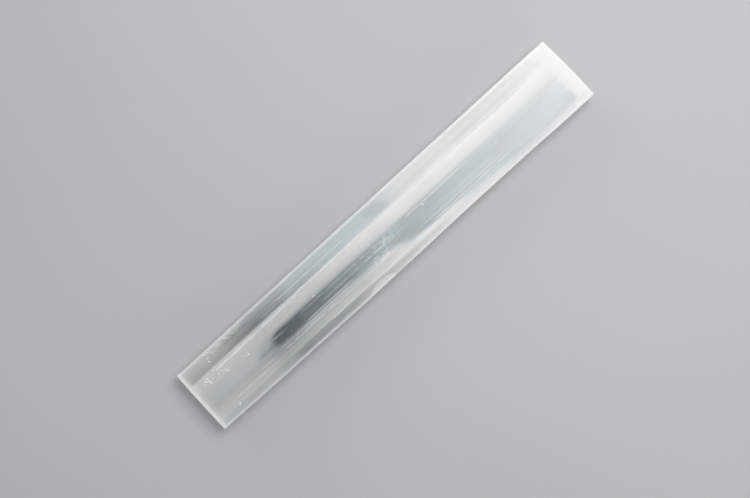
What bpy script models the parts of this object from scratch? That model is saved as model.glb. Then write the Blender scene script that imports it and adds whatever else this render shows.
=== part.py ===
"""A selenite blade: one flat bar of gypsum crystal, sawn to length and planed along its fibres.

The bar lies on its broad underside. +X runs along the fibres, +Y towards the edge beside the
cleavage ledge, and +Z up. The origin is under the middle of the bar, on the surface it lies on.
Places on the bar are given as the distance along it from its square end and the distance across
it from its ledge edge, both in metres.
"""

import math

import bmesh
import bpy
import numpy as np

# Driving dimensions.
LENGTH = 0.2156
WIDTH = 0.0318
THICKNESS = 0.0090

# The broad upper face.
LEDGE_FOOT = 0.0078          # across: where the low strip meets the ledge
LEDGE_TOP = 0.0085           # across: where the high plate begins
LEDGE_DROP = 0.00050         # how far the strip lies below the plate
LEDGE_RUN_OUT = (0.198, 0.208)  # along: the ledge dies away between these
STRIP_FALL = 0.00018         # how far the low strip falls from ledge to edge
SHOULDER = 0.0277            # across: where the other strip starts to fall away
SHOULDER_FALL = 0.00036      # how far it has fallen at the far edge
TROUGH = (0.0150, 0.0208)    # across: a shallow trough in the clear streak
TROUGH_DEPTH = 0.00014
TROUGH_SPAN = (0.038, 0.112)  # along
SCOOP_CENTRE = (0.0925, 0.0318)  # along, across: a shell-shaped flake gone from the far edge
SCOOP_HALF = (0.0078, 0.0030)
SCOOP_DEPTH = 0.00042

# The outline seen from above.
FAR_EDGE_WAVE = (            # along, how far the far edge stands out there
    (0.000, -0.00080),
    (0.040, -0.00027),
    (0.084, 0.00009),
    (0.144, -0.00021),
    (0.172, -0.00010),
    (0.206, 0.00035),
    (0.216, 0.00045),
)
END_SLANT = 0.034            # the sawn far end leans forward towards the far edge, metres a metre
END_BULGE = 1.20             # and is bowed a little, metres a square metre

# Edges.
EASE = 0.00048               # radius of the eased long edges
END_EASE = 0.00040           # radius of the eased end edges
CORNER_ROUND = (0.00120, 0.00085)  # rounding of the corners in plan, at the square and slanted ends
EASE_STEPS = 3

# Nicks in the face: along, across, half-length, half-width, depth, turn in degrees.
NICKS = (
    (0.0095, 0.0114, 0.0021, 0.00042, 0.00030, 84),
    (0.0084, 0.0103, 0.0011, 0.00030, 0.00022, 52),
    (0.0151, 0.0096, 0.0007, 0.00045, 0.00030, 70),
    (0.0184, 0.0131, 0.0012, 0.00042, 0.00028, 98),
    (0.0173, 0.0121, 0.0010, 0.00030, 0.00020, 35),
    (0.0150, 0.0049, 0.0006, 0.00045, 0.00028, 60),
    (0.0125, 0.0270, 0.0007, 0.00040, 0.00028, 105),
    (0.0296, 0.0137, 0.0008, 0.00035, 0.00022, 75),
    (0.1039, 0.0226, 0.0007, 0.00050, 0.00028, 20),
    (0.1288, 0.0170, 0.0004, 0.00032, 0.00020, 0),
)

# Lines across the upper face that carry its breaks, and lines across the plain underside.
UPPER_LINES = (0.0022, 0.0050, LEDGE_FOOT, LEDGE_TOP, 0.0115, 0.0144, 0.0156, 0.0179, 0.0202,
               0.0214, 0.0246, SHOULDER, 0.0289, 0.0302)
UNDER_LINES = (0.0100, 0.0218)
STATION_GAP = 0.0036


def clear_scene():
    for old in list(bpy.data.objects):
        bpy.data.objects.remove(old)


def smooth_step(value, low, high):
    """0 below low, 1 above high, and an even ease between them."""
    share = np.clip((value - low) / (high - low), 0.0, 1.0)
    return share * share * (3.0 - 2.0 * share)


def far_edge_offset(along):
    """The far edge's waver: eased from each known place to the next."""
    offset = FAR_EDGE_WAVE[0][1]
    for (start, first), (end, last) in zip(FAR_EDGE_WAVE, FAR_EDGE_WAVE[1:]):
        offset += (last - first) * smooth_step(along, start, end)
    return offset


def upper_height(along, across):
    """Height of the broad upper face: the plate's, less the strips, the trough and the scoop."""
    height = THICKNESS
    ledge_left = 1.0 - smooth_step(along, *LEDGE_RUN_OUT)
    low_side = 1.0 - np.clip((across - LEDGE_FOOT) / (LEDGE_TOP - LEDGE_FOOT), 0.0, 1.0)
    height -= LEDGE_DROP * low_side * ledge_left
    height -= STRIP_FALL * max(0.0, 1.0 - across / LEDGE_FOOT)
    height -= SHOULDER_FALL * max(0.0, (across - SHOULDER) / (WIDTH - SHOULDER))
    in_trough = smooth_step(across, TROUGH[0] - 0.0008, TROUGH[0] + 0.0008)
    in_trough *= 1.0 - smooth_step(across, TROUGH[1] - 0.0008, TROUGH[1] + 0.0008)
    in_trough *= smooth_step(along, TROUGH_SPAN[0], TROUGH_SPAN[0] + 0.008)
    in_trough *= 1.0 - smooth_step(along, TROUGH_SPAN[1] - 0.020, TROUGH_SPAN[1])
    height -= TROUGH_DEPTH * in_trough
    from_scoop = ((along - SCOOP_CENTRE[0]) / SCOOP_HALF[0]) ** 2
    from_scoop += ((across - SCOOP_CENTRE[1]) / SCOOP_HALF[1]) ** 2
    height -= SCOOP_DEPTH * max(0.0, 1.0 - from_scoop)
    return height


def eased_corner(centre, start_angle):
    """Points of a quarter circle about centre, running clockwise seen from the square end."""
    points = []
    for step in range(EASE_STEPS + 1):
        angle = math.radians(start_angle + 90.0 * step / EASE_STEPS)
        points.append((centre[0] - EASE * math.cos(angle), centre[1] + EASE * math.sin(angle)))
    return points


def section(along):
    """The bar's cross-section as (across, height) points: near edge, upper face, far edge, underside."""
    near_top = upper_height(along, 0.0)
    far_top = upper_height(along, WIDTH)
    wave = far_edge_offset(along)
    points = eased_corner((EASE, near_top - EASE), 0.0)
    for across in UPPER_LINES:
        points.append((across + wave * across / WIDTH, upper_height(along, across)))
    far_side = WIDTH + wave
    points += eased_corner((far_side - EASE, far_top - EASE), 90.0)
    points += eased_corner((far_side - EASE, EASE), 180.0)
    points += [(across, 0.0) for across in reversed(UNDER_LINES)]
    points += eased_corner((EASE, EASE), 270.0)
    return points


def stations():
    """Places along the bar as (share of the length, how far the section has closed in there)."""
    count = round(LENGTH / STATION_GAP)
    ease_share = END_EASE / LENGTH
    rows = []
    for step in range(EASE_STEPS + 1):
        angle = 0.5 * math.pi * step / EASE_STEPS
        rows.append((ease_share * (1.0 - math.sin(angle)), 1.0 - math.cos(angle)))
    rows.reverse()
    opening = [(share, closed) for share, closed in sorted(rows)]
    middle = [(step / count, 0.0) for step in range(1, count)]
    closing = [(1.0 - share, closed) for share, closed in reversed(opening)]
    return opening + middle + closing


def end_place(share, across):
    """Distance along the bar of a point, between the square end and the slanted, bowed end."""
    from_middle = across - 0.5 * WIDTH
    far_end = LENGTH + END_SLANT * from_middle - END_BULGE * from_middle ** 2
    return share * far_end


def blade_mesh():
    """Sections joined from end to end, with both ends filled."""
    shape = bmesh.new()
    rings = []
    for share, closed in stations():
        corner = CORNER_ROUND[0] if share < 0.5 else CORNER_ROUND[1]
        across_scale = 1.0 - 2.0 * corner * closed / WIDTH
        height_scale = 1.0 - 2.0 * END_EASE * closed / THICKNESS
        ring = []
        for across, height in section(share * LENGTH):
            across = 0.5 * WIDTH + (across - 0.5 * WIDTH) * across_scale
            height = 0.5 * THICKNESS + (height - 0.5 * THICKNESS) * height_scale
            along = end_place(share, across)
            ring.append(shape.verts.new((along, -across, height)))
        rings.append(ring)
    for ring, following in zip(rings, rings[1:]):
        for index in range(len(ring)):
            beside = (index + 1) % len(ring)
            shape.faces.new((ring[index], ring[beside], following[beside], following[index]))
    ends = [shape.faces.new(rings[0]), shape.faces.new(rings[-1])]
    bmesh.ops.poke(shape, faces=ends)
    bmesh.ops.recalc_face_normals(shape, faces=shape.faces[:])
    centre_on_origin(shape)
    mesh = bpy.data.meshes.new("selenite_blade")
    shape.to_mesh(mesh)
    shape.free()
    mesh.shade_smooth()
    mesh.set_sharp_from_angle(angle=math.radians(12.0))
    return mesh


def centre_on_origin(shape):
    """Move the bar so that the middle of its box is above the origin, with its underside at 0."""
    places = np.array([vertex.co[:] for vertex in shape.verts])
    low, high = places.min(axis=0), places.max(axis=0)
    shift = (-(low[0] + high[0]) / 2, -(low[1] + high[1]) / 2, -low[2])
    bmesh.ops.translate(shape, verts=shape.verts[:], vec=shift)


def selenite():
    """Milky, faintly grey-blue crystal with a satin polish."""
    material = bpy.data.materials.new("selenite")
    material.use_nodes = True
    shader = material.node_tree.nodes["Principled BSDF"]
    shader.inputs["Base Color"].default_value = (0.72, 0.77, 0.79, 1.0)
    shader.inputs["Roughness"].default_value = 0.28
    shader.inputs["Metallic"].default_value = 0.0
    shader.inputs["IOR"].default_value = 1.52
    shader.inputs["Transmission Weight"].default_value = 0.6
    return material


def nick_cutter():
    """One cutter with a four-sided pit for each nick, its point down in the face."""
    shape = bmesh.new()
    for along, across, half_length, half_width, depth, turn in NICKS:
        made = bmesh.ops.create_cone(shape, cap_ends=True, segments=4, radius1=0.0, radius2=1.0,
                                     depth=2.0)
        corners = made["verts"]
        bmesh.ops.scale(shape, verts=corners, vec=(2.0 * half_length, 2.0 * half_width, depth))
        tilt = math.radians(-turn)
        for vertex in corners:
            x, y, z = vertex.co
            vertex.co = (
                x * math.cos(tilt) - y * math.sin(tilt) + along - 0.5 * LENGTH,
                x * math.sin(tilt) + y * math.cos(tilt) - across + 0.5 * WIDTH,
                z + upper_height(along, across),
            )
    mesh = bpy.data.meshes.new("nick_cutter")
    shape.to_mesh(mesh)
    shape.free()
    cutter = bpy.data.objects.new("nick_cutter", mesh)
    bpy.context.collection.objects.link(cutter)
    cutter.hide_render = True
    cutter.display_type = "WIRE"
    return cutter


def main():
    clear_scene()
    mesh = blade_mesh()
    mesh.materials.append(selenite())
    blade = bpy.data.objects.new("selenite_blade", mesh)
    bpy.context.collection.objects.link(blade)
    nicks = blade.modifiers.new("nicks", "BOOLEAN")
    nicks.operation = "DIFFERENCE"
    nicks.solver = "EXACT"
    nicks.object = nick_cutter()


main()
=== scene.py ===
# %% [markdown]
# # A selenite blade
# The real object is one flat bar of fibrous gypsum. It was sawn from a vein of crystal whose fibres
# all run the same way, then planed and polished by hand. Some of it is clear and some of it is
# milky, in streaks along the fibres. This lesson builds its surface as one worked-out mesh, gives it
# one see-through material, and sets it on a pale floor under soft lamps.

# %% Load the frame
import math

import bpy
import numpy as np
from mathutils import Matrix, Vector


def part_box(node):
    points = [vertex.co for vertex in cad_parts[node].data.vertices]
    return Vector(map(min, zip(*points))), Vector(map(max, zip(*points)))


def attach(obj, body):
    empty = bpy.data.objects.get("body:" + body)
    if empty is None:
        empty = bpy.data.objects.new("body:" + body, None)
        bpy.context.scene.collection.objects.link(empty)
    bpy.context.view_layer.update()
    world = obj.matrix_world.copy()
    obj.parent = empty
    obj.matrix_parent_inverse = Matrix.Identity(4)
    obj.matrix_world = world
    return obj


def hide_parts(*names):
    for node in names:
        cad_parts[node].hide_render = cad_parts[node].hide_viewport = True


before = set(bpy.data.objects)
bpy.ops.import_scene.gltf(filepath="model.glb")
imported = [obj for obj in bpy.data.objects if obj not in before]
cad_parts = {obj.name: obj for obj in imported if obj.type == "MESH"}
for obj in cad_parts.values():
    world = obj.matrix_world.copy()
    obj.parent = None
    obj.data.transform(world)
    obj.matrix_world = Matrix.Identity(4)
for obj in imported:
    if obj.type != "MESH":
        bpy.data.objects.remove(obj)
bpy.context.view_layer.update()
BLADE = "selenite_blade"
low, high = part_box(BLADE)
THICKNESS = high.z - low.z
MM = 0.001
print("blade box in mm:", [round(side / MM, 2) for side in high - low])

# %% [markdown]
# ## Where the camera is
# A flat bar shows its growth bands best from straight above, so the camera looks straight down on
# the broad face, rolled so that the fibres run up to the right. It could be placed by eye. Here its
# distance is worked out from the lens and from how large the face should look, so it can be checked.
# It comes first, so that every later piece can be looked at as it is made.

# %% Camera
LENS_MM = 50.0
SENSOR_MM = 36.0
PICTURE_WIDTH_PX = 750
FIBRE_ANGLE = math.radians(42.52)     # how far the fibres rise from the picture's level
FACE_SCALE = 2.3146 / MM              # pixels a metre on the broad face
CENTRE_OFFSET_PX = (10.5, 13.6)       # the blade's centre lies this far right of and above the middle


def make_camera():
    """Above the blade by focal length over scale, and beside its centre by the offset in the picture."""
    focal_px = LENS_MM / SENSOR_MM * PICTURE_WIDTH_PX
    distance = focal_px / FACE_SCALE
    right = np.array([math.cos(FIBRE_ANGLE), -math.sin(FIBRE_ANGLE)])
    upward = np.array([math.sin(FIBRE_ANGLE), math.cos(FIBRE_ANGLE)])
    beside = -(CENTRE_OFFSET_PX[0] * right + CENTRE_OFFSET_PX[1] * upward) / FACE_SCALE
    data = bpy.data.cameras.new("camera")
    data.lens = LENS_MM
    data.sensor_width = SENSOR_MM
    data.clip_start = 0.01
    camera = bpy.data.objects.new("camera", data)
    camera.location = (beside[0], beside[1], THICKNESS + distance)
    camera.rotation_euler = (0.0, 0.0, -FIBRE_ANGLE)
    bpy.context.scene.collection.objects.link(camera)
    bpy.context.scene.camera = camera
    return distance


print("camera is", round(make_camera() / MM), "mm above the face")

# %% [markdown]
# ## The shape of the bar, as functions
# A planed bar could be a bevelled box, but then nothing on it would be true: its far edge wavers, one
# end is sawn a little out of square, and a cleavage ledge runs along the face. So its surface is
# worked out instead. Every point of the bar has a distance along it and a distance across it, and
# a function gives the height of the face there. All numbers are in millimetres until the mesh is made.

# %% Helpers for smooth steps and smooth noise
ROW_KNOTS, NET_KNOTS = 1024, 512      # how many random values noise has before it repeats


def ease(value, start, end):
    """0 before start, 1 after end, and between them 3s^2 - 2s^3 of the share s of the way."""
    share = np.clip((value - start) / (end - start), 0.0, 1.0)
    return share * share * (3.0 - 2.0 * share)


def between(value, start, end, soft):
    """1 between start and end, easing to 0 within soft outside them."""
    return ease(value, start - soft, start) * (1.0 - ease(value, end, end + soft))


def wander(place, wave, seed):
    """Noise from -1 to 1: random values a wave apart, joined by an even ease."""
    knots = np.random.default_rng(seed).uniform(-1.0, 1.0, ROW_KNOTS)
    step = place / wave + 17.0
    index = np.floor(step).astype(int)
    share = ease(step - index, 0.0, 1.0)
    return knots[index % ROW_KNOTS] * (1.0 - share) + knots[(index + 1) % ROW_KNOTS] * share


def grain(along, across, wave_along, wave_across, seed):
    """Noise from -1 to 1 on a surface: random values on a net, joined by an even ease both ways."""
    knots = np.random.default_rng(seed).uniform(-1.0, 1.0, (NET_KNOTS, NET_KNOTS))
    step_a = along / wave_along + 11.0
    step_b = across / wave_across + 11.0
    a, b = np.floor(step_a).astype(int), np.floor(step_b).astype(int)
    share_a, share_b = ease(step_a - a, 0.0, 1.0), ease(step_b - b, 0.0, 1.0)
    a, b, a_next, b_next = (knot % NET_KNOTS for knot in (a, b, a + 1, b + 1))
    near = knots[a, b] * (1.0 - share_a) + knots[a_next, b] * share_a
    far = knots[a, b_next] * (1.0 - share_a) + knots[a_next, b_next] * share_a
    return near * (1.0 - share_b) + far * share_b


print("an ease is", ease(0.25, 0.0, 1.0), "after a quarter of the way, and",
      ease(0.5, 0.0, 1.0), "half way")

# %% The bar's own measures
LENGTH = 215.6
WIDTH = 31.8
HEIGHT = THICKNESS / MM
FAR_EDGE_WAVE = (   # along, how far the far edge stands out there
    (0.0, -0.80),
    (40.0, -0.27),
    (84.0, 0.09),
    (144.0, -0.21),
    (172.0, -0.10),
    (206.0, 0.35),
    (216.0, 0.45),
)
END_SLANT = 0.034
END_BULGE = 0.0012
EASE_RADIUS = 0.48


def far_edge_offset(along):
    """How far the far edge stands out: eased from each known place to the next."""
    offset = FAR_EDGE_WAVE[0][1]
    for (start, first), (end, last) in zip(FAR_EDGE_WAVE, FAR_EDGE_WAVE[1:]):
        offset = offset + (last - first) * ease(along, start, end)
    return offset


def end_place(share, across):
    """Distance along the bar between its square end and its other end, which leans and bows."""
    from_middle = across - 0.5 * WIDTH
    return share * (LENGTH + END_SLANT * from_middle - END_BULGE * from_middle ** 2)


print("far edge wavers between", min(o for _, o in FAR_EDGE_WAVE), "and",
      max(o for _, o in FAR_EDGE_WAVE), "mm")

# %% [markdown]
# ## Ledge, trough, shoulder and scoop
# Gypsum splits along flat planes. A planed face therefore keeps long low ledges where a sheet came
# away, and a shell-shaped scoop where a flake broke off the edge. Each is a small term taken from
# the height of the face.

# %% Height of the broad face
LEDGE_FOOT, LEDGE_TOP = 7.8, 8.5
LEDGE_DROP = 0.50
LEDGE_ROUNDS_OVER = (62.0, 140.0)
LEDGE_WORN_FOOT, LEDGE_WORN_TOP = 7.1, 9.5
LEDGE_RUN_OUT = (178.0, 209.0)
STRIP_FALL = 0.18
SHOULDER = 27.7
SHOULDER_FALL = 0.36
TROUGH = (15.0, 20.8)
TROUGH_SPAN = (38.0, 112.0)
TROUGH_DEPTH = 0.14
SCOOP_CENTRE = (93.2, 31.8)
SCOOP_HALF = (7.9, 3.25)
SCOOP_DEPTH = 0.42


def ledge_line(along):
    """The ledge wanders a little across the bar, more in its small breaks than over its length."""
    return 0.09 * wander(along, 9.0, 3) + 0.05 * wander(along, 1.7, 4)


def face_height(along, across):
    """The plate's height, less the low strip, the far shoulder, the trough and the scoop."""
    moved = across - ledge_line(along)
    crisp = 1.0 - ease(moved, LEDGE_FOOT, LEDGE_TOP)
    worn_over = 1.0 - ease(moved, LEDGE_WORN_FOOT, LEDGE_WORN_TOP)
    low_side = crisp + (worn_over - crisp) * ease(along, *LEDGE_ROUNDS_OVER)
    height = HEIGHT - LEDGE_DROP * low_side * (1.0 - ease(along, *LEDGE_RUN_OUT))
    height = height - STRIP_FALL * np.clip(1.0 - across / LEDGE_FOOT, 0.0, 1.0)
    height = height - SHOULDER_FALL * np.clip((across - SHOULDER) / (WIDTH - SHOULDER), 0.0, 1.0)
    trough = between(across, TROUGH[0] + 0.8, TROUGH[1] - 0.8, 1.6)
    trough = trough * between(along, TROUGH_SPAN[0] + 8.0, TROUGH_SPAN[1] - 20.0, 14.0)
    height = height - TROUGH_DEPTH * trough
    out_along = (along - SCOOP_CENTRE[0]) / SCOOP_HALF[0]
    out_across = (across - SCOOP_CENTRE[1]) / SCOOP_HALF[1]
    scoop = np.clip(1.0 - out_along ** 2 - out_across ** 2, 0.0, 1.0)
    return height - SCOOP_DEPTH * scoop


print("the strip, the plate and the scoop are", [round(float(face_height(*place)), 2) for place in
                                                 ((93.2, 4.0), (93.2, 12.0), (93.2, 31.0))], "mm high")

# %% [markdown]
# ## Nicks and raised fibres
# Handling leaves short angular nicks, most of them by the ledge near the square end. Here and there
# a single fibre stands proud as a fine white line. Both are kept as short lists of places, because
# they follow no rule on the real bar. The mesh and the material read the same lists, so whatever is
# broken in shape is also white. That white is partly crushed crystal and partly painted glint. The
# lines listed along the ledge, about 9 mm across, are painted highlight on the ledge's edge.

# %% Places of the nicks and fibres
NICKS = (   # along, across, half-length, half-width, depth, turn in degrees
    (9.4, 11.6, 2.20, 0.46, 0.30, 88),
    (9.2, 9.8, 0.90, 0.60, 0.26, 10),
    (8.0, 10.4, 1.30, 0.34, 0.22, 52),
    (15.3, 9.7, 0.80, 0.55, 0.30, 70),
    (14.5, 11.4, 1.40, 0.30, 0.16, 118),
    (16.4, 11.6, 1.50, 0.30, 0.16, 62),
    (18.4, 12.9, 1.35, 0.46, 0.28, 74),
    (17.9, 11.8, 0.90, 0.34, 0.20, 35),
    (14.9, 4.8, 0.80, 0.55, 0.28, 60),
    (15.2, 3.3, 0.70, 0.34, 0.20, 0),
    (15.0, 1.4, 0.50, 0.40, 0.20, 95),
    (12.6, 27.2, 0.80, 0.50, 0.28, 100),
    (3.6, 29.0, 0.70, 0.30, 0.16, 120),
    (29.7, 13.8, 0.90, 0.42, 0.22, 80),
    (27.6, 13.2, 1.20, 0.28, 0.16, 66),
    (20.4, 9.5, 0.60, 0.50, 0.18, 20),
    (32.4, 9.3, 0.60, 0.50, 0.18, 80),
    (35.8, 9.3, 0.45, 0.40, 0.16, 30),
    (13.6, 8.9, 0.50, 0.30, 0.18, 40),
    (11.2, 11.2, 1.20, 0.24, 0.13, 128),
    (6.7, 11.2, 1.00, 0.22, 0.12, 56),
    (13.0, 12.7, 0.90, 0.22, 0.12, 42),
    (28.6, 14.1, 0.70, 0.24, 0.13, 18),
    (26.9, 12.3, 0.50, 0.26, 0.13, 100),
    (67.3, 14.4, 0.70, 0.30, 0.16, 60),
    (91.0, 20.3, 0.45, 0.40, 0.18, 30),
    (103.9, 22.6, 0.75, 0.50, 0.28, 20),
    (128.8, 17.0, 0.45, 0.35, 0.20, 0),
    (170.0, 18.6, 0.60, 0.30, 0.14, 0),
    (182.0, 17.3, 0.40, 0.30, 0.14, 0),
    (186.2, 22.8, 0.50, 0.35, 0.16, 10),
    (194.1, 23.3, 0.50, 0.38, 0.16, 20),
)
FIBRES = (   # across, from, to, width, strength
    (5.0, 57.0, 90.0, 0.22, 0.47),
    (6.3, 46.0, 62.0, 0.18, 0.26),
    # The next seven lines, along the ledge about 9 mm across, are painted highlight: light on the
    # ledge's edge, drawn as white fibres.
    (9.4, 17.5, 24.0, 0.40, 0.92),
    (9.3, 26.0, 36.0, 0.42, 0.74),
    (9.2, 34.0, 57.0, 0.48, 0.34),
    (9.1, 42.5, 46.5, 0.36, 0.80),
    (9.1, 50.5, 54.0, 0.36, 0.72),
    (9.0, 59.8, 61.0, 0.32, 0.44),
    (9.0, 118.0, 207.0, 0.60, 0.50),
    (16.1, 61.0, 95.0, 0.20, 0.30),
    (16.1, 122.0, 150.0, 0.24, 0.50),
    (16.7, 42.5, 47.0, 0.34, 0.27),
    (18.5, 71.0, 90.0, 0.20, 0.32),
    (18.6, 94.0, 103.0, 0.20, 0.44),
    (20.45, 60.5, 82.0, 0.20, 0.48),
    (21.6, 44.0, 78.0, 0.18, 0.30),
    (23.1, 45.0, 70.0, 0.20, 0.42),
    (22.2, 58.0, 76.0, 0.18, 0.26),
    (24.5, 13.5, 31.0, 0.28, 0.30),
    (23.0, 30.0, 36.0, 0.22, 0.30),
    (21.3, 135.0, 162.0, 0.20, 0.26),
    (22.4, 138.0, 160.0, 0.20, 0.22),
    (24.6, 130.0, 166.0, 0.20, 0.26),
    (25.5, 131.0, 170.0, 0.22, 0.42),
    (27.3, 70.0, 110.0, 0.26, 0.50),
    (27.0, 116.0, 142.0, 0.40, 0.34),
)
FIBRE_RISE = 0.030


def nick_depth(along, across):
    """Four-sided pits: depth times what is left of 1 after the shares of both half-sizes."""
    depth = np.zeros(np.broadcast(along, across).shape)
    for centre, beside, half_length, half_width, deepest, turn in NICKS:
        angle = math.radians(turn)
        run = (along - centre) * math.cos(angle) + (across - beside) * math.sin(angle)
        off = (across - beside) * math.cos(angle) - (along - centre) * math.sin(angle)
        left = 1.0 - np.abs(run) / half_length - np.abs(off) / half_width
        depth = np.maximum(depth, deepest * np.clip(left, 0.0, 1.0))
    return depth


def fibre_share(along, across):
    """How much a fibre shows: a bell across each, made fainter here and there along it by noise."""
    shown = np.zeros(np.broadcast(along, across).shape)
    for number, (line, start, end, width, strength) in enumerate(FIBRES):
        sway = 0.12 * wander(along, 26.0, 40 + number)
        bell = np.exp(-(((across - line - sway) / width) ** 2))
        steady = 0.74 + 0.16 * wander(along, 3.4, 70 + number) + 0.16 * wander(along, 1.2, 110 + number)
        fade = 1.5 + 0.12 * (end - start)
        shown = np.maximum(shown, strength * bell * steady * between(along, start, end, fade))
    return shown


print(len(NICKS), "nicks, up to", max(nick[4] for nick in NICKS), "mm deep, and", len(FIBRES), "fibres")

# %% [markdown]
# ## One skin, from sections
# The skin is a loop of points round the bar, the section, carried from one end to the other. The
# face needs fine lines, because its fibres are narrow, and the plain underside needs few. Along the
# bar the sections stand close together only where there are nicks.

# %% Lines round the bar
FACE_STEP, SIDE_STEP, UNDER_STEP = 0.195, 0.5, 1.1
ARC_POINTS = 6


def round_the_bar():
    """Four flats and four quarter circles. For each point: nominal place and outward way."""
    radius = EASE_RADIUS
    rising = np.arange(radius, HEIGHT - radius, SIDE_STEP)
    face = np.linspace(radius, WIDTH - radius, round((WIDTH - 2 * radius) / FACE_STEP))
    under = np.linspace(WIDTH - radius, radius, round((WIDTH - 2 * radius) / UNDER_STEP))
    turn = np.linspace(0.0, 0.5 * math.pi, ARC_POINTS + 2)[1:-1]
    runs = (
        (np.zeros_like(rising), rising, np.full_like(rising, math.pi)),
        (radius - radius * np.cos(turn), HEIGHT - radius + radius * np.sin(turn), math.pi - turn),
        (face, np.full_like(face, HEIGHT), np.full_like(face, 0.5 * math.pi)),
        (WIDTH - radius + radius * np.sin(turn), HEIGHT - radius + radius * np.cos(turn),
         0.5 * math.pi - turn),
        (np.full_like(rising, WIDTH), rising[::-1], np.zeros_like(rising)),
        (WIDTH - radius + radius * np.cos(turn), radius - radius * np.sin(turn), -turn),
        (under, np.zeros_like(under), np.full_like(under, -0.5 * math.pi)),
        (radius - radius * np.sin(turn), radius - radius * np.cos(turn), -0.5 * math.pi - turn),
    )
    across = np.concatenate([run[0] for run in runs])
    rise = np.concatenate([run[1] for run in runs])
    outward = np.concatenate([run[2] for run in runs])
    return across, rise, outward


ring_across, ring_rise, ring_outward = round_the_bar()
on_face = np.isclose(ring_rise, HEIGHT)
on_side = np.isclose(np.abs(np.cos(ring_outward)), 1.0)
print(len(ring_across), "lines run along the bar,", on_face.sum(), "of them on its broad face")

# %% Stations along the bar
BUSY = ((6.0, 21.0), (26.5, 31.0), (101.5, 106.0))
FINE_STEP, COARSE_STEP = 0.30, 0.86
END_ROUND = 0.42
ROUND_STEPS = 5


def places_along():
    """Stations whose gap is fine in the busy stretches, from adding up 1 / gap along the bar."""
    dense = np.linspace(END_ROUND, LENGTH - END_ROUND, 8000)
    gap = np.full_like(dense, COARSE_STEP)
    for start, end in BUSY:
        gap = gap - (COARSE_STEP - FINE_STEP) * between(dense, start, end, 2.0)
    count = np.concatenate([[0.0], np.cumsum(np.diff(dense) / gap[1:])])
    middle = np.interp(np.linspace(0.0, count[-1], round(count[-1]))[1:-1], count, dense)
    turn = np.linspace(0.0, 0.5 * math.pi, ROUND_STEPS + 1)[:-1]
    opening = END_ROUND * (1.0 - np.sin(turn))
    closed_in = 1.0 - np.cos(turn)
    order = np.argsort(opening)
    along = np.concatenate([opening[order], middle, LENGTH - opening[order][::-1]])
    return along, np.concatenate([closed_in[order], np.zeros_like(middle), closed_in[order][::-1]])


station_along, station_closed = places_along()
print(len(station_along), "stations along the bar")

# %% [markdown]
# ## Wear along the edges, and relief on the planed sides
# Gypsum is softer than a fingernail, so its edges are nibbled. Each edge gets a row of small chips:
# noise along the bar, kept only where it is high, fading out away from the edge. The sides keep long
# low flutes where fibres pulled out under the plane.

# %% Depth taken off the skin
LONG_EDGES = (0.75, 0.25, -0.25, -0.75)   # which way the middle of each faces, in half turns
CHIP_REACH = 0.42
CHIP_DEPTH = 0.07
FLUTE_DEPTH = 0.10
STRIATION = (   # length and width of the specks, height, seed
    (150.0, 3.2, 0.018, 7),
    (90.0, 1.3, 0.010, 8),
    (50.0, 0.6, 0.005, 9),
)
STRIATION_MIDDLE = 0.035    # the striated face lies this far under the planed one
PLAIN_MARGIN = 1.2          # the face has no striation this near its edges


def distance_round():
    """Distance round the section from its first point to each point: the steps added up."""
    step = np.hypot(np.diff(ring_across), np.diff(ring_rise))
    return np.concatenate([[0.0], np.cumsum(step)])


def chip_share(along):
    """Chips on the four long edges: high noise along each, times a bell round its middle."""
    place = distance_round()
    chips = np.zeros((len(along), len(place)))
    for number, half_turns in enumerate(LONG_EDGES):
        middle = place[np.argmin(np.abs(ring_outward - half_turns * math.pi))]
        bell = np.exp(-(((place - middle) / CHIP_REACH) ** 2))
        noise = 0.6 * wander(along, 1.3, 101 + number) + 0.4 * wander(along, 0.6, 111 + number)
        swell = 0.55 + 0.45 * wander(along, 23.0, 121 + number)
        chips = np.maximum(chips, (swell * ease(noise, 0.05, 0.9))[:, None] * bell[None, :])
    return chips


def side_flutes(along, rise):
    """Long low flutes on an upright side: stretched noise, deeper where it is high."""
    broad = grain(along, rise, 60.0, 1.9, 5)
    fine = grain(along, rise, 14.0, 0.9, 6)
    return 0.6 * ease(broad, 0.0, 1.0) + 0.4 * ease(fine, 0.1, 1.0)


def face_relief(along, across):
    """Fine striation on the face: stretched noise in three widths, added up."""
    return sum(height * grain(along, across, length, width, seed)
               for length, width, height, seed in STRIATION)


# %% The skin's points
CORNER_ROUND = (1.20, 0.85)
SQUEEZED = 3.0


def nominal_across(along):
    """How far across each line round the bar lies there, drawn out to the wavering far edge."""
    return ring_across + far_edge_offset(along) * ring_across / WIDTH


def wear():
    """Nicks and raised fibres on the broad face, and chips on the long edges, at each point."""
    along = station_along[:, None]
    across = nominal_across(along)
    nicks = nick_depth(along, across) * on_face
    fibres = fibre_share(along, across) * on_face
    return nicks, fibres, chip_share(station_along)


def depth_taken(along, across, nicks, fibres, chips):
    """How much is gone at each point: nicks, striation, chips and flutes, less the raised fibres."""
    inside = between(ring_across, PLAIN_MARGIN, WIDTH - PLAIN_MARGIN, 0.7)
    striation = (STRIATION_MIDDLE - face_relief(along, across)) * inside * on_face
    depth = nicks + striation - FIBRE_RISE * fibres * inside + CHIP_DEPTH * chips
    from_edges = ease(np.minimum(ring_rise, HEIGHT - ring_rise), 0.5, 1.6)
    flutes = FLUTE_DEPTH * side_flutes(along, ring_rise[None, :]) * on_side * from_edges
    return np.maximum(depth + flutes, 0.0)


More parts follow.
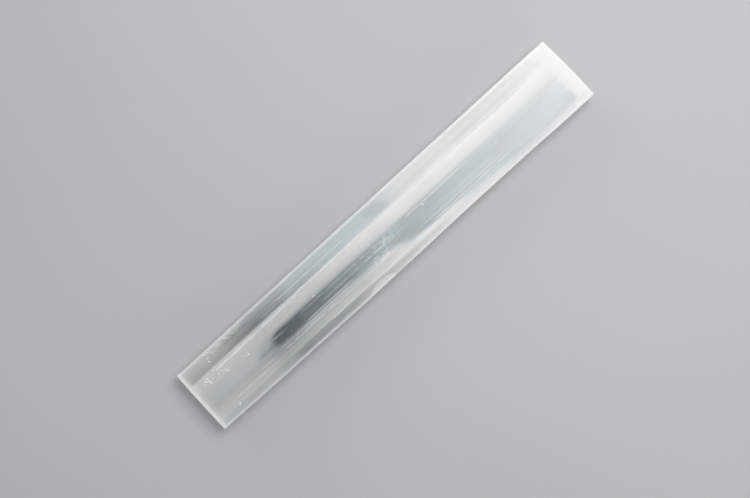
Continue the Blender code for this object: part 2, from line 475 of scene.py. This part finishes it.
def skin(nicks, fibres, chips):
    """Each section's points: nominal place, less the fall of the face and the depth taken off.

    Where the face is low, the top few millimetres of each side (SQUEEZED) are drawn closer together,
    so that a side's points keep their order.
    """
    along, closed = station_along[:, None], station_closed[:, None]
    share = along / LENGTH
    across = nominal_across(along)
    on_top = ease(ring_rise, HEIGHT - SQUEEZED, HEIGHT - EASE_RADIUS)
    fall = (HEIGHT - face_height(along, ring_across[None, :])) * on_top
    depth = depth_taken(along, across, nicks, fibres, chips)
    across = across - depth * np.cos(ring_outward)
    rise = ring_rise - fall - depth * np.sin(ring_outward)
    corner = np.where(share < 0.5, CORNER_ROUND[0], CORNER_ROUND[1])
    across = 0.5 * WIDTH + (across - 0.5 * WIDTH) * (1.0 - 2.0 * corner * closed / WIDTH)
    rise = 0.5 * HEIGHT + (rise - 0.5 * HEIGHT) * (1.0 - 2.0 * END_ROUND * closed / HEIGHT)
    return np.stack([end_place(share, across), across, rise], axis=-1)


worn_away = wear()
points = skin(*worn_away)
print("skin points:", points.shape[:2], "height", points[..., 2].min(), points[..., 2].max())

# %% What the material is told about each point
WHITE_FROM_DEPTH = 0.12     # a nick this deep is fully white: crushed crystal, made whiter as painted glint
RIM_HIGHLIGHT_REACH = 1.95           # how far a long edge's painted rim highlight reaches into the face, by the ledge side


def shares_for_material(nicks, fibres, chips):
    """How worn each point is, with painted glint in its white, how much painted rim highlight the edge
    beside it adds, and whether it is on a side.
    """
    # The rounded rims at both ends turn white: partly wear, partly painted highlight on the rounding.
    rounded_end_wear_and_highlight = np.broadcast_to(0.9 * ease(station_closed[:, None], 0.0, 0.6), chips.shape)
    # Nicks, fibres, chips and rounded ends count as worn and turn white: real wear, with painted glint
    # and highlight in that white.
    white_nicks = np.clip(nicks / WHITE_FROM_DEPTH, 0.0, 1.0)
    wear_and_highlight = np.maximum.reduce([white_nicks, fibres, 0.4 * chips, rounded_end_wear_and_highlight])
    # Painted rim highlight: the face is made milkier near each long edge, standing in for the light the
    # edges catch.
    by_ledge_side = 1.0 - ease(ring_across, 0.70, RIM_HIGHLIGHT_REACH)
    by_far_side = 1.0 - ease(WIDTH - ring_across, 0.30, 0.8 * RIM_HIGHLIGHT_REACH)
    rim_highlight = np.maximum(by_ledge_side, by_far_side) * (1.0 - on_side)
    rim_highlight = rim_highlight * (0.88 + 0.12 * wander(station_along[:, None], 3.1, 91))
    return {"wear_and_highlight": wear_and_highlight, "rim_highlight": rim_highlight, "wall": np.broadcast_to(on_side, wear_and_highlight.shape)}


skin_shares = shares_for_material(*worn_away)
print({name: round(float(share.mean()), 3) for name, share in skin_shares.items()})

# %% [markdown]
# ## Closing the sawn ends
# Each end is filled with smaller and smaller copies of its last section, down to one point. The
# copies are pushed in and out a little, because a saw leaves shallow parallel marks across fibres.

# %% End caps
CAP_RINGS = 22
SAW_PITCH = 1.1
SAW_DEPTH = 0.035


def sawn_in(across, rise, seed):
    """Saw marks as slanted waves, with the pitted ends of the fibres as noise on them."""
    slant = rise + 0.16 * across + 0.5 * wander(across, 7.0, seed)
    marks = 0.5 + 0.5 * np.sin(2.0 * math.pi * slant / SAW_PITCH)
    pits = ease(grain(across, rise, 0.9, 0.9, seed + 1), 0.2, 1.0)
    return SAW_DEPTH * (0.6 * marks + pits)


def end_cap(rim, inward, seed):
    """Rings from the rim to one middle point, sunk along the bar by the saw's marks."""
    shrink = np.linspace(1.0, 0.0, CAP_RINGS + 1)[1:-1]
    middle = np.array([0.0, 0.5 * WIDTH, 0.5 * HEIGHT])
    middle[0] = end_place(0.0 if inward > 0 else 1.0, middle[1])
    rings = middle + (rim - middle) * shrink[:, None, None]
    base = end_place(0.0 if inward > 0 else 1.0, rings[..., 1])
    settled = ease(1.0 - shrink, 0.0, 0.08)[:, None]
    sunk = sawn_in(rings[..., 1], rings[..., 2], seed) * settled
    rings[..., 0] = base + inward * sunk
    return rings, middle


caps = [end_cap(points[0], 1.0, 31), end_cap(points[-1], -1.0, 36)]
print("each end is filled with", len(caps[0][0]), "rings and one middle point")

# %% The mesh
def quads_between(first, second, count):
    """Faces that join two loops of count points, point for point."""
    here = np.arange(count)
    beside = (here + 1) % count
    return np.stack([first + here, first + beside, second + beside, second + here], axis=-1)


def blade_mesh():
    """Loops in order from one middle point to the other, so that every loop is joined to the next."""
    (start_rings, start_middle), (end_rings, end_middle) = caps
    loops = np.concatenate([start_rings[::-1], points, end_rings])
    count = loops.shape[1]
    places = np.concatenate([loops.reshape(-1, 3), [start_middle, end_middle]])
    rings = len(loops)
    quads = np.concatenate([quads_between(ring * count, (ring + 1) * count, count)
                            for ring in range(rings - 1)])
    here = np.arange(count)
    beside = (here + 1) % count
    last = (rings - 1) * count
    start_fan = np.stack([np.full(count, rings * count), beside, here], axis=-1)
    end_fan = np.stack([np.full(count, rings * count + 1), last + here, last + beside], axis=-1)
    place = np.stack([low.x + places[:, 0] * MM, high.y - places[:, 1] * MM,
                      low.z + places[:, 2] * MM], axis=-1)
    mesh = bpy.data.meshes.new("blade_skin")
    mesh.from_pydata(place.tolist(), [], quads.tolist() + start_fan.tolist() + end_fan.tolist())
    mesh.validate()
    on_caps = (len(start_rings) * count, len(end_rings) * count + 2)
    shares = {name: np.pad(share.ravel(), on_caps) for name, share in skin_shares.items()}
    shares["sawn"] = np.pad(np.zeros(points[..., 0].size), on_caps, constant_values=1.0)
    for name, share in shares.items():
        layer = mesh.attributes.new(name, "FLOAT", "POINT")
        layer.data.foreach_set("value", share.astype(np.float32))
    mesh.shade_smooth()
    mesh.set_sharp_from_angle(angle=math.radians(38.0))
    return mesh


blade = bpy.data.objects.new("blade_skin", blade_mesh())
bpy.context.scene.collection.objects.link(blade)
print(len(blade.data.vertices), "points,", sum(len(f.vertices) - 2 for f in blade.data.polygons),
      "triangles")

# %% [markdown]
# ## Shader maths as plain sums
# A material is a chain of small nodes, and the long ones are hard to read as nodes. A Term stands
# for one socket. Sums and products of Terms add the Math nodes themselves, so the recipe below reads
# like the sentences it comes from.

# %% Terms and nodes
class Term:
    """The value of one socket at every point of the surface, written with Python's own signs."""

    def __init__(self, socket):
        self.socket = socket

    def join(self, operation, first, second):
        return add_node(self.socket.id_data, "ShaderNodeMath", {"operation": operation},
                        {0: first, 1: second})

    def __add__(self, other):
        return self.join("ADD", self, other)

    def __sub__(self, other):
        return self.join("SUBTRACT", self, other)

    def __rsub__(self, other):
        return self.join("SUBTRACT", other, self)

    def __mul__(self, other):
        return self.join("MULTIPLY", self, other)

    def most(self, other):
        return self.join("MAXIMUM", self, other)

    def least(self, other):
        return self.join("MINIMUM", self, other)

    __radd__ = __add__
    __rmul__ = __mul__


def add_node(tree, kind, settings, values, output=0):
    """One node: its settings first, then a value or a link for each named socket."""
    node = tree.nodes.new(kind)
    for name, setting in settings.items():
        setattr(node, name, setting)
    for name, value in values.items():
        if isinstance(value, Term):
            tree.links.new(value.socket, node.inputs[name])
        else:
            node.inputs[name].default_value = value
    return Term(node.outputs[output])


class Bench:
    """The nodes that this object's materials use again and again, on one material's tree."""

    def __init__(self, material):
        material.use_nodes = True
        self.tree = material.node_tree
        self.tree.nodes.clear()
        self.place = add_node(self.tree, "ShaderNodeTexCoord", {}, {}, "Object")

    def node(self, kind, settings, values, output=0):
        return add_node(self.tree, kind, settings, values, output)

    def ease(self, value, start, end):
        """0 before start and 1 after end, with a smooth step between."""
        settings = {"interpolation_type": "SMOOTHSTEP"}
        return self.node("ShaderNodeMapRange", settings,
                         {"Value": value, "From Min": start, "From Max": end})

    def between(self, value, start, end, soft):
        """1 between start and end, falling to 0 within soft outside them."""
        return self.ease(value, start - soft, start) * (1.0 - self.ease(value, end, end + soft))

    def noise(self, stretch, detail=2.0, shift=0.0, turn=0.0):
        """Noise about 0 to 1 whose specks are so many mm long each way, swung round by turn degrees."""
        scale = [1.0 / (MM * length) for length in stretch]
        place = self.place
        if turn:
            swing = (0.0, 0.0, math.radians(turn))
            place = self.node("ShaderNodeMapping", {}, {"Vector": place, "Rotation": swing})
        moved = self.node("ShaderNodeMapping", {}, {"Vector": place, "Scale": scale,
                                                    "Location": (shift, shift, shift)})
        return self.node("ShaderNodeTexNoise", {}, {"Vector": moved, "Scale": 1.0,
                                                    "Detail": detail, "Roughness": 0.55})

    def mix_colour(self, share, first, second):
        return self.node("ShaderNodeMix", {"data_type": "RGBA"}, {0: share, 6: first, 7: second}, 2)


# %% [markdown]
# ## Where the crystal is milky and where it is clear
# Selenite is one mineral throughout. Where its fibres are tightly grown it is as clear as glass, and
# where gas and clay were caught between them it is milky. One number, from 0 for clear to 1 for
# milky, is worked out from the place on the bar. It follows the growth bands: a low strip, a white
# band, a clear streak that opens out towards the far end, a light band and a grey shoulder.

# %% How milky and how cool each band is
# Each pair is a distance along the bar and the value there. A slope is the change for each mm across.
# Most bands grow milkier towards the far end. This rise is partly the crystal's own milkiness and partly
# painted light, a brighter far end on top of the key lamp's fall-off.
STRIP_MILK = ((0, 0.58), (20, 0.54), (31, 0.40), (41, 0.32), (52, 0.39), (66, 0.57), (84, 0.69),
              (104, 0.76), (126, 0.89), (146, 0.88), (176, 0.79), (200, 0.85))
STRIP_SLOPE = ((34, 0.035), (48, 0.04), (62, 0.03), (80, 0.005), (96, -0.02), (130, 0.0))
WHITE_MILK = ((0, 0.74), (20, 0.76), (42, 0.69), (64, 0.74), (84, 0.84), (104, 0.95), (122, 0.99),
              (160, 1.0), (200, 0.91))
WHITE_SLOPE = 0.018
STREAK_MILK = ((28, 0.62), (37, 0.48), (43.2, 0.04), (52, 0.06), (64, 0.15), (80, 0.28), (96, 0.44),
               (106, 0.54), (114, 0.52), (126, 0.60), (150, 0.69), (196, 0.67), (207, 0.76))
STREAK_SLOPE = ((118, 0.0), (138, 0.021), (170, 0.0))
LIGHT_MILK = ((0, 0.64), (30, 0.60), (44, 0.42), (64, 0.56), (84, 0.68), (96, 0.80), (112, 0.87),
              (126, 0.98), (140, 0.97), (156, 0.90), (178, 0.69), (200, 0.64))
LIGHT_SLOPE = ((20, 0.022), (36, 0.032), (45, 0.05), (56, 0.022), (90, 0.022), (130, 0.0))
SHOULDER_MILK = ((0, 0.62), (28, 0.56), (41, 0.43), (49, 0.28), (60, 0.33), (75, 0.39), (90, 0.575),
                 (105, 0.65), (124, 0.80), (140, 0.91), (158, 0.90), (180, 0.81), (200, 0.84))
SHOULDER_SLOPE = ((150, 0.05), (190, 0.0))

STRIP_COOL = ((34, 0.2), (48, 0.7), (75, 0.9), (100, 0.9), (120, 0.5), (150, 0.2))
WHITE_COOL = 0.0
STREAK_COOL = ((30, 0.3), (48, 0.9), (110, 1.0), (150, 0.8), (200, 0.5))
LIGHT_COOL = ((60, 0.2), (104, 0.2), (122, 0.8))
SHOULDER_COOL = ((50, 0.4), (84, 0.2), (150, 0.1), (190, 0.4))

STRIP_FOOT = ((110, 6.6), (140, 5.9))       # across: where the strip starts to give way to the white
STRIP_FADE = 2.3                            # how many mm further on it has done so
STREAK_TOP = ((40, 14.1), (50, 14.6), (84, 14.6), (130, 15.3))
STREAK_TOP_SOFTNESS = ((44, 1.6), (80, 1.8), (130, 2.2), (200, 2.7))
STREAK_FOOT = ((44, 20.1), (52, 20.9), (76, 20.9), (96, 21.5), (107, 22.3), (117, 25.2), (128, 26.2),
               (150, 26.8))
STREAK_FOOT_SOFTNESS = ((80, 1.3), (160, 1.7))
SHOULDER_TOP = ((88, 27.55), (98, 28.2), (112, 28.35), (130, 28.6), (160, 28.6), (182, 28.2))
SHOULDER_SOFTNESS = ((150, 0.6), (182, 1.2))
TIP_MIDDLE = 18.5                           # across: the middle of the clear streak's rounded tip
TIP_CURVE = 0.25                            # how far the tip bends back, mm a square mm
STRIP_MIDDLE, LIGHT_MIDDLE = 4.0, 24.5      # across: where these bands keep their own milkiness
WHITE_FLAT_TO, STREAK_FLAT_TO, SHOULDER_FLAT_TO = 9.5, 20.0, 29.2   # across: where slopes start

# Small patches: from, to and fade along the bar, then from, to and fade across it.
BY_THE_LEDGE = (32.0, 40.0, 6.0)            # the strip is clearer beside the ledge here; along only
DUSKY = (27.0, 33.0, 9.0, 2.7, 3.7, 0.8)    # a clearer, greyer line in the strip
TONGUE = (33.0, 37.5, 3.5, 18.6, 19.2, 0.8)  # a clear line that runs ahead of the streak's tip


def banded(bench, along, stops):
    """A value along the bar, eased between a few places where it is known."""
    total = stops[0][1]
    for (start, first), (end, last) in zip(stops, stops[1:]):
        total = bench.ease(along, start, end) * (last - first) + total
    return total


def patch(bench, along, across, place):
    """1 on a patch of the face, easing to 0 round it."""
    return bench.between(along, *place[:3]) * bench.between(across, *place[3:])


def milk_of_bands(bench, along, moved):
    """The milkiness of strip, white band, streak, light band and shoulder, each sloped across itself.

    The streak's places along the bar are bent back beside its middle, by a square, to round its tip.
    """
    strip = banded(bench, along, STRIP_MILK)
    strip = strip - (moved - STRIP_MIDDLE) * banded(bench, along, STRIP_SLOPE)
    strip = strip - (bench.ease(moved, 3.6, 5.0) - 0.5) * bench.between(along, *BY_THE_LEDGE) * 0.06
    strip = strip - patch(bench, along, moved, DUSKY) * 0.12
    white = banded(bench, along, WHITE_MILK) - (moved - WHITE_FLAT_TO).most(0.0) * WHITE_SLOPE
    from_tip = moved - TIP_MIDDLE
    streak = banded(bench, along - from_tip * from_tip * TIP_CURVE, STREAK_MILK)
    streak = streak + (moved - STREAK_FLAT_TO).most(0.0) * banded(bench, along, STREAK_SLOPE)
    streak = streak - patch(bench, along, moved, TONGUE) * 0.15
    light = banded(bench, along, LIGHT_MILK)
    light = light + (moved - LIGHT_MIDDLE) * banded(bench, along, LIGHT_SLOPE)
    shoulder = banded(bench, along, SHOULDER_MILK)
    shoulder = shoulder + (moved - SHOULDER_FLAT_TO).most(0.0) * banded(bench, along, SHOULDER_SLOPE)
    return strip, white, streak, light, shoulder


print("the clear streak is clearest", min(STREAK_MILK, key=lambda stop: stop[1])[0], "mm along")

# %% Growth bands
def past_border(bench, along, moved, middle, softness):
    """0 before a border and 1 past it. Its middle and its half-width are known along the bar."""
    centre = banded(bench, along, middle)
    half = banded(bench, along, softness)
    return bench.ease(moved, centre - half, centre + half)


def blend(first, second, share):
    return first + (second - first) * share


def layered(values, borders):
    """The first value, changing to the next one as each border is crossed."""
    total = values[0]
    for value, crossed in zip(values[1:], borders):
        total = blend(total, value, crossed)
    return total


def growth_bands(bench, along, across):
    """Milkiness and coolness of the five bands, whose borders sway over the length and fray a little."""
    sway = (bench.noise((160.0, 14.0, 14.0), shift=2.0) - 0.5) * 0.6
    fray = (bench.noise((90.0, 0.9, 0.9), detail=1.0, shift=5.0) - 0.5) * 0.35
    moved = across + sway + fray
    strip_foot = banded(bench, along, STRIP_FOOT)
    borders = (bench.ease(moved, strip_foot, strip_foot + STRIP_FADE),
               past_border(bench, along, moved, STREAK_TOP, STREAK_TOP_SOFTNESS),
               past_border(bench, along, moved, STREAK_FOOT, STREAK_FOOT_SOFTNESS),
               past_border(bench, along, moved, SHOULDER_TOP, SHOULDER_SOFTNESS))
    cools = (banded(bench, along, STRIP_COOL), WHITE_COOL, banded(bench, along, STREAK_COOL),
             banded(bench, along, LIGHT_COOL), banded(bench, along, SHOULDER_COOL))
    return layered(milk_of_bands(bench, along, moved), borders), layered(cools, borders)


# %% [markdown]
# ## Silk, cloud and bruises
# Noise gives what has no fixed place: silky lines and threads along the fibres, and faint cloud. It
# is strongest where the fibres look combed. A few things do have a place: a bruise of small white
# cracks at the streak, a feather-shaped clear patch, wisps near the square end, and a rubbed ledge.

# %% Silk, cloud and bruises
COMBED = (   # patches where the silk shows most
    (38.0, 84.0, 22.0, 21.0, 27.5, 1.2),
    (126.0, 160.0, 14.0, 21.0, 26.5, 2.0),
    (34.0, 74.0, 16.0, 1.8, 7.4, 1.0),
)
BRUISES = (
    (103.0, 111.0, 8.0, 16.4, 18.7, 1.4),
    (99.0, 103.5, 4.5, 20.5, 22.5, 1.5),
)
WISPS = (17.0, 30.0, 8.0, 0.8, 2.6, 1.6)
RUBBED = (12.0, 84.0, 20.0, 8.6, 10.4, 1.4)
FEATHER_CENTRE, FEATHER_HALF = (112.0, 4.6), (7.6, 3.4)
FEATHER_TIP_CENTRE, FEATHER_TIP_HALF = (101.5, 4.9), (4.5, 2.0)
FEATHER_LEAN = 0.9                          # how far it leans along the bar for each mm across


def oval(bench, along, across, centre, half, soft):
    """1 inside an ellipse, easing to 0 at its rim.

    What is eased is 1 less the squares of the shares of both half-sizes.
    """
    out_along = (along - centre[0]) * (1.0 / half[0])
    out_across = (across - centre[1]) * (1.0 / half[1])
    return bench.ease(1.0 - out_along * out_along - out_across * out_across, -0.05, soft)


def silk_and_threads(bench, along, across):
    """Fine lines along the fibres in two widths, strong where combed and weak near the square end."""
    combed = sum(patch(bench, along, across, place) for place in COMBED)
    away_from_square_end = bench.ease(along, 18.0, 60.0) * (1.0 - bench.ease(along, 96.0, 140.0) * 0.5)
    silk = (bench.noise((400.0, 1.1, 1.1), detail=1.0, shift=9.0) - 0.5) * 0.13
    threads = (bench.noise((110.0, 0.58, 0.58), detail=1.0, shift=17.0) - 0.5) * 0.17
    return (silk * (combed * 1.3 + away_from_square_end * 0.6 + 0.15)
            + threads * (combed * 1.8 + away_from_square_end * 0.45 + 0.20))


def silk_and_cloud(bench, along, across):
    """What noise adds to the bands: silk, cloud, a bruise, wisps and a rubbed ledge, less a feather."""
    cloud = (bench.noise((26.0, 5.0, 5.0), detail=2.0, shift=13.0) - 0.5) * 0.12
    bruise = patch(bench, along, across, BRUISES[0]).most(patch(bench, along, across, BRUISES[1]))
    mottle = bench.ease(bench.noise((2.1, 1.1, 1.1), detail=4.0, shift=23.0), 0.34, 0.72)
    leaned = along - (across - FEATHER_CENTRE[1]) * FEATHER_LEAN
    feather = oval(bench, leaned, across, FEATHER_CENTRE, FEATHER_HALF, 1.0)
    feather = feather + oval(bench, leaned, across, FEATHER_TIP_CENTRE, FEATHER_TIP_HALF, 1.0) * 0.35
    wisps = bench.ease(bench.noise((6.0, 0.8, 0.8), detail=3.0, shift=29.0, turn=42.0), 0.42, 0.70)
    wisps = wisps * patch(bench, along, across, WISPS)
    rubbed = (bench.noise((2.6, 1.1, 1.1), detail=3.0, shift=33.0) - 0.5) * 0.30
    rubbed = rubbed * patch(bench, along, across, RUBBED)
    return (silk_and_threads(bench, along, across) + cloud + rubbed + bruise * mottle * 0.30
            - feather * 0.11 + wisps * 0.26)


# %% Frosted ends
FAR_FROST = 209.2                           # along: where the far end's frost begins
FAR_FROST_RAGGED = 2.6


def frosted_ends(bench, along, across, wall_share):
    """Frost of the far end, which spreads inward by the long edges, and the square end's white rim,
    which is partly frost and partly painted highlight on its rounded edge.

    The far end's border lies 0.15 mm further out for each mm past the middle of the bar. It runs
    inward again by a slope near each long edge, and noise makes it ragged.
    """
    ragged = (bench.noise((14.0, 3.0, 3.0), detail=1.0, shift=37.0) - 0.5) * FAR_FROST_RAGGED
    border = FAR_FROST + (across - 19.0).most(0.0) * 0.15 - (across - 27.0).most(0.0) * 1.0
    border = border - (9.0 - across).most(0.0) * 0.45 + ragged
    far = bench.ease(along, border - 2.3 - wall_share * 5.0, border + 1.6 + wall_share * 3.0)
    # The square end's white rim: partly frost, partly painted highlight on the rounded edge.
    square = (1.0 - bench.ease(along, 0.0, 2.4)) * 0.8 + (1.0 - bench.ease(along, 0.5, 5.0)) * 0.2
    on_face = 1.0 - wall_share * 0.35
    return far * on_face, square * on_face


# %% [markdown]
# ## The crystal's material
# Three shaders make the crystal. A clear one lets light through, a milky one scatters light inside,
# and a ground one scatters it at the surface. The milkiness mixes the first two. Whatever is broken
# or worn takes some of the third. Light that goes through the bar is tinted by the depth it crosses.

# %% How milky each place is
# The side walls also grow milkier towards the far end, partly as painted light.
SIDE_MILK = ((0, 0.58), (44, 0.42), (84, 0.55), (120, 0.74), (200, 0.84))
# Painted rim highlight: how milky the long edges are made, standing in for the light they catch.
RIM_HIGHLIGHT_MILK = ((20, 0.84), (44, 0.77), (66, 0.84), (104, 0.90), (122, 0.97))


def saw_marks(bench):
    """How white a sawn end is: pale, less the pits of the fibres' ends, lined by the saw."""
    pits = bench.ease(bench.noise((3.0, 0.55, 0.55), detail=3.0, shift=43.0), 0.44, 0.66)
    lines = bench.noise((60.0, 22.0, 0.50), detail=1.0, shift=47.0) - 0.5
    broad = bench.noise((60.0, 9.0, 5.0), detail=1.0, shift=53.0) - 0.5
    return 0.74 - pits * 0.46 + lines * 0.85 + broad * 0.6


def milk_and_cool(bench, along, across, shares):
    """The bands with their silk, the flaked scoop, the layers in the side walls and the painted rim
    highlight along the long edges.
    """
    milk, cool = growth_bands(bench, along, across)
    milk = milk + silk_and_cloud(bench, along, across)
    milk = milk + oval(bench, along, across, SCOOP_CENTRE, SCOOP_HALF, 0.5) * 0.23
    layers = bench.noise((300.0, 3.0, 1.2), detail=2.0, shift=41.0) - 0.5
    milk = blend(milk, banded(bench, along, SIDE_MILK) + layers * 0.7, shares["wall"])
    # painted rim highlight along the long edges
    milk = blend(milk, milk.most(banded(bench, along, RIM_HIGHLIGHT_MILK)), shares["rim_highlight"])
    return milk.least(1.0).most(0.0), cool


# %% The crystal's material
IOR = 1.52
WARM_MILK = (0.858, 0.870, 0.840, 1.0)
COOL_MILK = (0.785, 0.850, 0.865, 1.0)
CHALK = (0.905, 0.905, 0.882, 1.0)
FROST = (0.815, 0.812, 0.793, 1.0)
# White of crushed crystal, kept whiter than the milky crystal so that it also stands as painted glint
# and highlight on nicks, rims and the ledge.
BROKEN_WHITE_AND_GLINT = (0.965, 0.965, 0.945, 1.0)
# The clear crystal's tint darkens what is seen through it: partly its own grey, partly painted shade of
# the dark under the bar. It lightens towards the far end, partly as painted light.
CLEAR_GREY = (0.522, 0.565, 0.584, 1.0)
CLEAR_SLATE = (0.66, 0.76, 0.81, 1.0)
SLATE_ALONG = ((40, 0.0), (100, 0.7), (190, 1.0))
SCATTER_RADIUS = (1.0, 0.98, 0.94)
SCATTER_SCALE = 3.5 * MM
DEPTH_TINT = (0.80, 0.88, 0.92, 1.0)
DEPTH_DENSITY = 22.0
GROOVE_HEIGHT = 0.06 * MM


def pale_colour(bench, milk, cool, frost, far_frost, broken_and_glint):
    """The milky crystal's colour: warm to cool by band, chalky where whitest, and white where broken, a
    white that is also painted glint and highlight on nicks, rims and the ledge.
    """
    drift = (bench.noise((40.0, 7.0, 7.0), detail=2.0, shift=31.0) - 0.5) * 0.4
    pale = bench.mix_colour(cool + drift, WARM_MILK, COOL_MILK)
    pale = bench.mix_colour(frost.most(bench.ease(milk, 0.80, 1.0) * 0.8), pale, CHALK)
    pale = bench.mix_colour(far_frost, pale, FROST)
    return bench.mix_colour(broken_and_glint, pale, BROKEN_WHITE_AND_GLINT)


def selenite():
    """Clear crystal mixed with milky crystal by the milkiness, and with a ground skin by the wear."""
    material = bpy.data.materials.new("selenite")
    bench = Bench(material)
    split = add_node(bench.tree, "ShaderNodeSeparateXYZ", {}, {"Vector": bench.place})
    parts = split.socket.node.outputs
    along = (Term(parts["X"]) - low.x) * (1.0 / MM)
    across = (high.y - Term(parts["Y"])) * (1.0 / MM)
    shares = {name: bench.node("ShaderNodeAttribute", {"attribute_name": name}, {}, "Fac")
              for name in ("wear_and_highlight", "rim_highlight", "wall", "sawn")}
    not_sawn = 1.0 - shares["sawn"]

    milk, cool = milk_and_cool(bench, along, across, shares)
    # The square end's rim share is partly frost and partly painted highlight.
    far_frost, square_rim_frost_and_highlight = frosted_ends(bench, along, across, shares["wall"])
    # broken: real wear and frost, with painted glint and highlight
    broken_and_glint = square_rim_frost_and_highlight.most(shares["wear_and_highlight"])
    frost = blend(far_frost.most(broken_and_glint), saw_marks(bench), shares["sawn"]).least(1.0).most(0.0)
    milk = blend(milk, 1.0, frost * 0.94)
    pale = pale_colour(bench, milk, cool, frost, far_frost, broken_and_glint * not_sawn)
    ground_share = (square_rim_frost_and_highlight * 0.9).most(shares["wear_and_highlight"] * 0.35) * not_sawn
    # painted shade in the clear crystal: grey near the square end, lighter slate towards the far end
    clear_tint_and_shade = bench.mix_colour(banded(bench, along, SLATE_ALONG), CLEAR_GREY, CLEAR_SLATE)

    polish = bench.noise((80.0, 1.6, 1.6), detail=2.0, shift=21.0)
    groove = bench.noise((90.0, 0.30, 0.30), detail=2.0, shift=27.0) * (shares["sawn"] * 4.0 + 1.0)
    bump = bench.node("ShaderNodeBump", {}, {"Strength": 0.20, "Distance": GROOVE_HEIGHT,
                                             "Height": groove})
    skin_values = {"IOR": IOR, "Normal": bump,
                   "Roughness": polish * 0.08 + 0.19 + shares["wear_and_highlight"] * 0.25 + shares["sawn"] * 0.35}
    clear = bench.node("ShaderNodeBsdfPrincipled", {}, {
        **skin_values, "Base Color": clear_tint_and_shade, "Transmission Weight": 1.0})
    milky = bench.node("ShaderNodeBsdfPrincipled", {}, {
        **skin_values, "Base Color": pale, "Subsurface Weight": 1.0,
        "Subsurface Radius": SCATTER_RADIUS, "Subsurface Scale": SCATTER_SCALE})
    ground = bench.node("ShaderNodeBsdfPrincipled", {}, {
        **skin_values, "Base Color": pale, "Roughness": 0.5})
    whole = bench.node("ShaderNodeMixShader", {}, {0: milk, 1: clear, 2: milky})
    surface = bench.node("ShaderNodeMixShader", {}, {0: ground_share, 1: whole, 2: ground})
    depths = bench.node("ShaderNodeVolumeAbsorption", {}, {"Color": DEPTH_TINT,
                                                           "Density": DEPTH_DENSITY})
    out = bench.tree.nodes.new("ShaderNodeOutputMaterial")
    bench.tree.links.new(surface.socket, out.inputs["Surface"])
    bench.tree.links.new(depths.socket, out.inputs["Volume"])
    return material


blade.data.materials.append(selenite())
print(len(blade.data.materials[0].node_tree.nodes), "nodes in the crystal's material")

# %% [markdown]
# ## The floor and the lamps
# The bar lies on a plain pale floor. A wide soft lamp hangs beyond the far end, so the light falls
# off towards the square end and slides along the polished face. Three weak lamps stand low and far
# off. They rake the two long edges and the square end, so that the worn rims catch a little light.

# %% Floor
FLOOR_SIZE = 12.0
FLOOR_GAP = 0.0002


def make_floor():
    """A flat square just under the bar, with a trace of tone so that it isn't perfectly even."""
    half = 0.5 * FLOOR_SIZE
    mesh = bpy.data.meshes.new("floor")
    square = ((-half, -half), (half, -half), (half, half), (-half, half))
    mesh.from_pydata([(x, y, -FLOOR_GAP) for x, y in square], [], [(0, 1, 2, 3)])
    floor = bpy.data.objects.new("floor", mesh)
    bpy.context.scene.collection.objects.link(floor)
    material = bpy.data.materials.new("floor")
    bench = Bench(material)
    tone = bench.noise((180.0, 180.0, 180.0), detail=2.0)
    colour = bench.mix_colour(tone, (0.56, 0.56, 0.565, 1.0), (0.60, 0.60, 0.60, 1.0))
    shader = bench.node("ShaderNodeBsdfPrincipled", {}, {"Base Color": colour, "Roughness": 0.85})
    out = bench.tree.nodes.new("ShaderNodeOutputMaterial")
    bench.tree.links.new(shader.socket, out.inputs["Surface"])
    mesh.materials.append(material)
    return floor


make_floor()

# %% Lamps
def soft_lamp(name, place, aim, size, watts, spread=180.0):
    """A square lamp with sides of that many metres. It faces its aim and spreads so many degrees."""
    data = bpy.data.lights.new(name, "AREA")
    data.size = size
    data.energy = watts
    data.spread = math.radians(spread)
    lamp = bpy.data.objects.new(name, data)
    away = np.array(place) - np.array(aim)
    flat = math.hypot(away[0], away[1])
    lamp.location = place
    lamp.rotation_euler = (math.atan2(flat, away[2]), 0.0, math.atan2(away[0], -away[1]))
    lamp.visible_camera = False
    bpy.context.scene.collection.objects.link(lamp)


def studio():
    """Pale surroundings, a key lamp over the far end, and low strips that rake the long edges."""
    soft_lamp("key", (0.36, 0.05, 0.60), (0.10, 0.0, 0.0), 0.42, 2.6)
    soft_lamp("rake_ledge_side", (0.0, 1.10, 0.27), (0.0, 0.0, 0.0), 0.55, 0.33, 50.0)
    soft_lamp("rake_far_side", (0.05, -1.10, 0.27), (0.0, 0.0, 0.0), 0.55, 0.22, 50.0)
    soft_lamp("rake_square_end", (-1.10, 0.0, 0.34), (-0.1, 0.0, 0.0), 0.80, 0.08, 50.0)
    world = bpy.data.worlds.new("studio")
    world.use_nodes = True
    sky = world.node_tree.nodes["Background"]
    sky.inputs["Color"].default_value = (0.94, 0.965, 1.0, 1.0)
    sky.inputs["Strength"].default_value = 0.38
    bpy.context.scene.world = world
    bpy.context.scene.view_settings.view_transform = "Standard"


studio()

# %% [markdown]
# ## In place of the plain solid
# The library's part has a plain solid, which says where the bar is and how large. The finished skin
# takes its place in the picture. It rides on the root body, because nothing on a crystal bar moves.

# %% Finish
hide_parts(BLADE)
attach(blade, "root")
